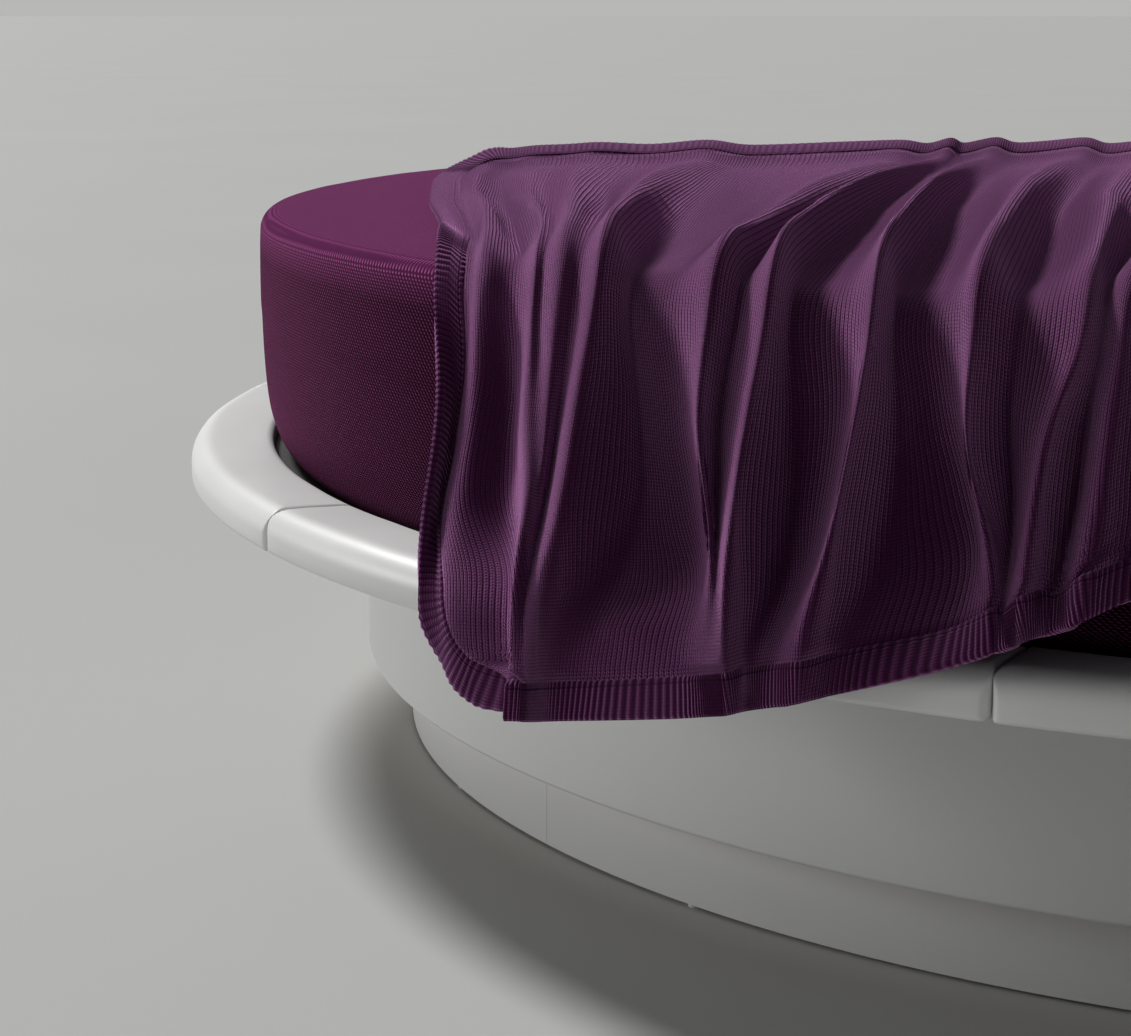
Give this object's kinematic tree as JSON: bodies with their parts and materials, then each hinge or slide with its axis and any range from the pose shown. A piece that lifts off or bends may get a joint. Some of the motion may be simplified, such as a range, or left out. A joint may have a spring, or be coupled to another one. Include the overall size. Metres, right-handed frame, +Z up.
{
  "type": "round bed",
  "caption": "Round platform bed: white drum on a set-back plinth, padded ledge ring in segments, round mattress and a knitted throw over its edge.",
  "frame": {"origin": "on the floor under the middle of the bed", "axes": "+Z up, -Y to the front, where the corner of the throw hangs"},
  "size_m": [2.55, 2.5849, 0.5888],
  "materials": {
    "white_lacquer": "satin white lacquer on bent plywood",
    "ledge_leather": "smooth white leather over thin foam",
    "plywood": "birch plywood, sanded",
    "steel": "zinc plated",
    "glide_plastic": "matt",
    "mattress_cloth": "coarse woven plum cloth",
    "base_cloth": "plain woven anti-slip cloth",
    "foam_core": "open-cell foam",
    "foam_topper": "open-cell foam",
    "zip_tape": "matt coil zip",
    "knit": "soft stocking-stitch knit with a ribbed border"
  },
  "bodies": {
    "platform": {"drum_panel_1": "white_lacquer", "drum_panel_2": "white_lacquer", "drum_panel_3": "white_lacquer", "drum_panel_4": "white_lacquer", "plinth_panel_1": "white_lacquer", "plinth_panel_2": "white_lacquer", "plinth_panel_3": "white_lacquer", "plinth_panel_4": "white_lacquer", "rim_pad_01": "ledge_leather", "rim_pad_02": "ledge_leather", "rim_pad_03": "ledge_leather", "rim_pad_04": "ledge_leather", "rim_pad_05": "ledge_leather", "rim_pad_06": "ledge_leather", "rim_pad_07": "ledge_leather", "rim_pad_08": "ledge_leather", "rim_pad_09": "ledge_leather", "rim_pad_10": "ledge_leather", "base_ring_1": "plywood", "base_ring_2": "plywood", "base_ring_3": "plywood", "base_ring_4": "plywood", "top_ring_1": "plywood", "top_ring_2": "plywood", "top_ring_3": "plywood", "top_ring_4": "plywood", "rim_board_1": "plywood", "rim_board_2": "plywood", "rim_board_3": "plywood", "rim_board_4": "plywood", "rim_board_5": "plywood", "rib_1": "plywood", "rib_2": "plywood", "rib_3": "plywood", "rib_4": "plywood", "rib_5": "plywood", "rib_6": "plywood", "rib_7": "plywood", "rib_8": "plywood", "deck_panel_1": "plywood", "deck_panel_2": "plywood", "deck_panel_3": "plywood", "deck_panel_4": "plywood", "hub_foot": "plywood", "hub_plate": "plywood", "hub_post": "plywood", "rib_brackets": "steel", "bracket_screws": "steel", "joining_plates": "steel", "joining_screws": "steel", "rim_bolts": "steel", "deck_screws": "steel", "plinth_glides": "glide_plastic", "hub_glide": "glide_plastic"},
    "mattress_set": {"mattress_cover": "mattress_cloth", "mattress_base_cloth": "base_cloth", "mattress_core": "foam_core", "mattress_topper": "foam_topper", "mattress_zip": "zip_tape", "throw": "knit"}
  },
  "joints": [
    {"name": "mattress_lift", "type": "slide", "parent": "platform", "child": "mattress_set", "axis": [0, 0, 1], "range_m": [0, 0.4]}
  ]
}
